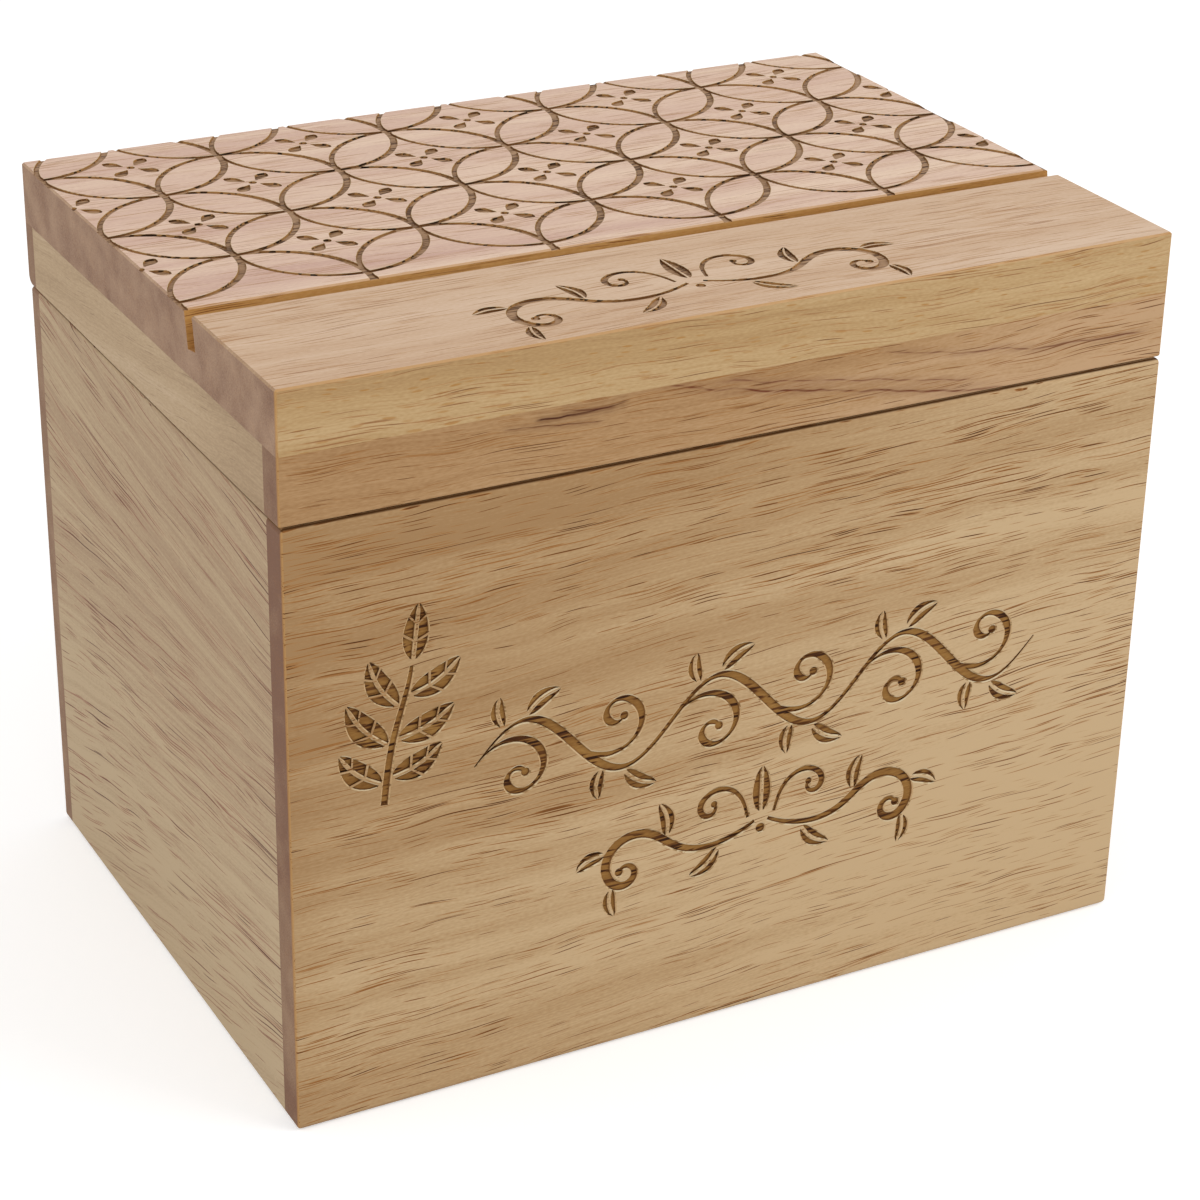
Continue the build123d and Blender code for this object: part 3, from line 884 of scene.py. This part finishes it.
def leafy_sprig(stems, leaves):
    """A sprig of seven ribbed leaves."""
    stem = pen_line((-71.6, 64.0), 84, (14, 0.0, -1.2), (13, -1.2, 2.0))
    stems.stroke(stem, swelling(1.3, 1.2, 0.7))
    placed = ((0.14, 54, 10.6, 4.8), (0.20, -56, 10.6, 4.8), (0.44, 52, 11.8, 5.2),
              (0.50, -52, 11.6, 5.2), (0.74, 46, 10.8, 4.8), (0.81, -44, 10.8, 4.8))
    for share, turn, length, width in placed:
        leaves.leaf_on(stem, share, turn, length, width, 0.9, cells=3)
    tip = stem[-1] + Vector((0.3, 1.2))
    leaves.leaf(tip, tip + Vector((1.2, 10.6)), 4.8, cells=3)


def front_designs():
    stems, curls, leaves = (Cutter(name, on_front, FRONT_CUT) for name in ("stems", "curls", "leaves"))
    running_vine(stems, curls, leaves)
    leafy_sprig(stems, leaves)
    paired_scrolls(stems, curls, leaves, (6.0, 44.6), 0.9)
    return [stems, curls, leaves]


MERGE = 1e-6                # metres


def on_whole_mesh(obj, operator, **settings):
    """Run one edit-mode operator on all of an object's mesh."""
    pick(obj)
    bpy.ops.object.mode_set(mode="EDIT")
    bpy.ops.mesh.select_all(action="SELECT")
    operator(**settings)
    bpy.ops.object.mode_set(mode="OBJECT")


def merged_copy(node, name):
    """A copy of a frame node, its loose triangles joined into one closed shell."""
    made = bpy.data.objects.new(name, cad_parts[node].data.copy())
    bpy.context.scene.collection.objects.link(made)
    on_whole_mesh(made, bpy.ops.mesh.remove_doubles, threshold=MERGE)
    return made


def cut_from(piece, cutter):
    """Take a solid out of a piece; the new faces keep the solid's own materials."""
    pick(piece)
    cut = piece.modifiers.new("cut", "BOOLEAN")
    cut.operation = "DIFFERENCE"
    cut.object = cutter
    cut.solver = "MANIFOLD"
    cut.material_mode = "TRANSFER"
    bpy.ops.object.modifier_apply(modifier="cut")
    bpy.data.objects.remove(cutter)


def carve(board, cutters, floor):
    """Take the grooves out of the board, one cutter after the other, so that crossings come out clean."""
    for cutter in cutters:
        grooves = cutter.build(floor, burnt_wall_and_shade, painted_highlight_edge)
        on_whole_mesh(grooves, bpy.ops.mesh.normals_make_consistent, inside=False)
        cut_from(board, grooves)


# ---------------------------------------------------------------- slot and screws
SLOT_FROM_TO = (-28.5, -23.1)       # mm from front to back, round the leaning slot
SLOT_HEIGHTS = (139.0, 145.69)      # mm, from under its floor to under its eased upper edges


def dress_slot(board):
    """The sawn walls and floor of the card slot, left bright; its open ends are no part of them."""
    board.data.materials.append(slot_wood)
    bright = len(board.data.materials) - 1
    for face in board.data.polygons:
        y, z = face.center.y / MM, face.center.z / MM
        inside = SLOT_FROM_TO[0] < y < SLOT_FROM_TO[1] and SLOT_HEIGHTS[0] < z < SLOT_HEIGHTS[1]
        if inside and abs(face.normal.x) < 0.5:
            face.material_index = bright


SCREW_SPACING = 15.0               # mm between the two screws of a leaf
DRIVER_SLOT = (4.0, 0.5, 0.9)      # long, wide, and twice as deep as it is cut, mm


def slotted_screws(node, name, body, turns):
    """The pair of screws of one leaf, each with a driver slot across its head."""
    screws = merged_copy(node, name)
    low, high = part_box(node)
    face = high[2] if body == "case" else low[2]
    for side, turn in zip((-1, 1), turns):
        place = ((low[0] + high[0] + side * SCREW_SPACING * MM) / 2, (low[1] + high[1]) / 2, face)
        bpy.ops.object.select_all(action="DESELECT")
        bpy.ops.mesh.primitive_cube_add(size=1.0, location=place, rotation=(0, 0, radians(turn)))
        blade = bpy.context.object
        blade.scale = [length * MM for length in DRIVER_SLOT]
        blade.data.materials.append(turned_brass)
        cut_from(screws, blade)
    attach(screws, body)
    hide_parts(node)


# ---------------------------------------------------------------- room
def add_background_rays(tree):
    """1 for the rays that show the background: to the camera, in a gloss, or through glass; else 0."""
    seen = add(tree, "LightPath")
    shown = add(tree, "Math", {0: seen.outputs["Is Camera Ray"], 1: seen.outputs["Is Glossy Ray"]},
                operation="MAXIMUM")
    return add(tree, "Math", {0: shown, 1: seen.outputs["Is Transmission Ray"]}, operation="MAXIMUM")


GROUND_SIZE = 6.0             # metres
GROUND_DROP = 0.0001          # the ground lies this far under the box, so that the two don't share a plane
GROUND_PAINT = "#E7E7E7"
GROUND_GLOW = 0.42            # seen directly, it is a little paler than its paint
WORLD_LIGHT = 0.74            # the light on the box
WORLD_SHOWN = 1.0             # the white that is seen behind it
WHITE = "#FFFFFF"


def make_room():
    bpy.ops.object.select_all(action="DESELECT")
    bpy.ops.mesh.primitive_plane_add(size=GROUND_SIZE, location=(0, 0, -GROUND_DROP))
    ground = bpy.context.object
    ground.name = "ground"
    # matt white paint: no gloss at all, so the box's shadow is all that shows on it
    material, tree = new_material("matt_white_ground")
    paint = add(tree, "BsdfDiffuse", {"Color": srgb(GROUND_PAINT)})
    strength = add(tree, "Math", {0: add_background_rays(tree), 1: GROUND_GLOW}, operation="MULTIPLY")
    glow = add(tree, "Emission", {"Color": srgb(WHITE), "Strength": strength})
    both = add(tree, "AddShader", {0: paint, 1: glow})
    add(tree, "OutputMaterial", {0: both})
    ground.data.materials.append(material)

    world = bpy.data.worlds.new("studio")
    bpy.context.scene.world = world
    world.use_nodes = True
    tree = world.node_tree
    tree.nodes.clear()
    soft = add(tree, "Background", {"Color": srgb(WHITE), "Strength": WORLD_LIGHT})
    white = add(tree, "Background", {"Color": srgb(WHITE), "Strength": WORLD_SHOWN})
    shown = add(tree, "MixShader", {0: add_background_rays(tree), 1: soft, 2: white})
    add(tree, "OutputWorld", {0: shown})


def add_lamp(name, place, aim, size, watts):
    light = bpy.data.lights.new(name, "AREA")
    light.size = size
    light.energy = watts
    lamp = bpy.data.objects.new(name, light)
    lamp.location = place
    lamp.rotation_euler = (Vector(aim) - Vector(place)).to_track_quat("-Z", "Y").to_euler()
    bpy.context.scene.collection.objects.link(lamp)


# ---------------------------------------------------------------- the box
make_camera()
dress_nodes()
lid_panel = merged_copy("lid_top_panel", "engraved_top_panel")
carve(lid_panel, lid_designs(), lid_floor)
dress_slot(lid_panel)
front_board = merged_copy("case_front_board", "engraved_front_board")
carve(front_board, front_designs(), front_floor)
for piece, body, node, slot in ((lid_panel, "lid", "lid_top_panel", "rubberwood_lid"),
                                (front_board, "case", "case_front_board", "rubberwood_case")):
    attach(piece, body)
    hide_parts(node)
# the degrees that each driver slot is turned, as the screws came to rest
for side, case_turns, lid_turns in (("left", (20, 71), (-38, 8)), ("right", (-64, 33), (84, -15))):
    slotted_screws(f"hinge_{side}_case_screws", f"{side}_case_screws_slotted", "case", case_turns)
    slotted_screws(f"hinge_{side}_lid_screws", f"{side}_lid_screws_slotted", "lid", lid_turns)

make_room()
add_lamp("key", place=(0.75, -0.75, 0.8), aim=(0.03, 0, 0.07), size=0.7, watts=4.5)
add_lamp("fill", place=(-1.0, -0.1, 0.55), aim=(0, 0, 0.07), size=0.9, watts=2.0)
bpy.context.scene.view_settings.view_transform = "Standard"
